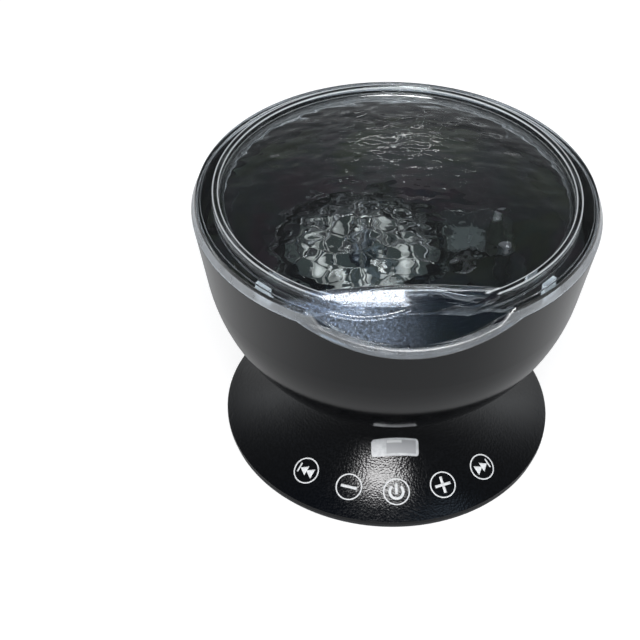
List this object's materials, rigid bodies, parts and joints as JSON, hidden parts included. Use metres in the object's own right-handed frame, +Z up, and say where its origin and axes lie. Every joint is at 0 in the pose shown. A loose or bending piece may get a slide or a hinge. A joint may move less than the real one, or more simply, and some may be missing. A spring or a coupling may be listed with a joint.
{
  "type": "ocean wave projector",
  "caption": "Tabletop wave projector: a round bowl head with a notched clear wave lid tilts on a flared base with touch keys, a speaker and rear sockets.",
  "frame": {"origin": "on the table, under the base's centre", "axes": "+Z up; -Y towards the front, where the touch keys and the lid's notch are; +X to the right as seen from above with the front towards the viewer"},
  "size_m": [0.145, 0.1441, 0.1143],
  "materials": {
    "dark_cover": "fine grain",
    "rubber": "matt",
    "screw_steel": "bright",
    "plated_steel": "satin",
    "base_black": "spark-eroded grain",
    "frosted_clear": "frosted",
    "component_black": "satin",
    "board_green": "solder mask",
    "board_white": "solder mask",
    "cone_paper": "matt",
    "moulded_grey": "satin",
    "bowl_black": "smooth satin",
    "tray_black": "satin",
    "lamp_clear": "polished",
    "gear_nylon": "natural",
    "wave_clear": "rippled",
    "cover_clear": "polished",
    "lid_clear": "polished",
    "lens_clear": "rippled"
  },
  "bodies": {
    "base": {"base_cover": "dark_cover", "rubber_feet": "rubber", "cover_screws": "screw_steel", "base_shell": "base_black", "ir_window": "frosted_clear", "ir_receiver": "component_black", "touch_board": "board_green", "touch_springs": "screw_steel", "main_board": "board_green", "board_screws": "screw_steel", "board_chips": "component_black", "usb_socket": "plated_steel", "audio_jack": "component_black", "speaker_basket": "plated_steel", "speaker_cone": "cone_paper", "seat_pad": "rubber", "tilt_shoe": "moulded_grey", "shoe_screws": "screw_steel"},
    "head": {"bowl_shell": "bowl_black", "inner_tray": "tray_black", "tray_screws": "screw_steel", "lamp_board": "board_white", "lamps": "lamp_clear", "dome_axle": "screw_steel", "gear_motor": "plated_steel", "motor_screws": "screw_steel", "gear_cover": "cover_clear", "gear_cover_screws": "screw_steel", "lid_ring": "lid_clear", "wave_lens": "lens_clear"},
    "dome": {"wave_dome": "wave_clear"},
    "pinion": {"motor_shaft": "screw_steel", "drive_pinion": "gear_nylon"}
  },
  "joints": [
    {"name": "head_tilt", "type": "hinge", "parent": "base", "child": "head", "pos_m": [0, 0, 0.08872], "axis": [-1, 0, 0], "range_deg": [0, 45]},
    {"name": "dome_turn", "type": "hinge", "parent": "head", "child": "dome", "pos_m": [-0.012, 0, 0.0852], "axis": [0, 0, 1], "continuous": true},
    {"name": "pinion_turn", "type": "hinge", "parent": "head", "child": "pinion", "pos_m": [0.0264, 0, 0.0852], "axis": [0, 0, 1], "continuous": true}
  ],
  "couplings": [
    {"joint": "pinion_turn", "follows": "dome_turn", "ratio": -5}
  ]
}
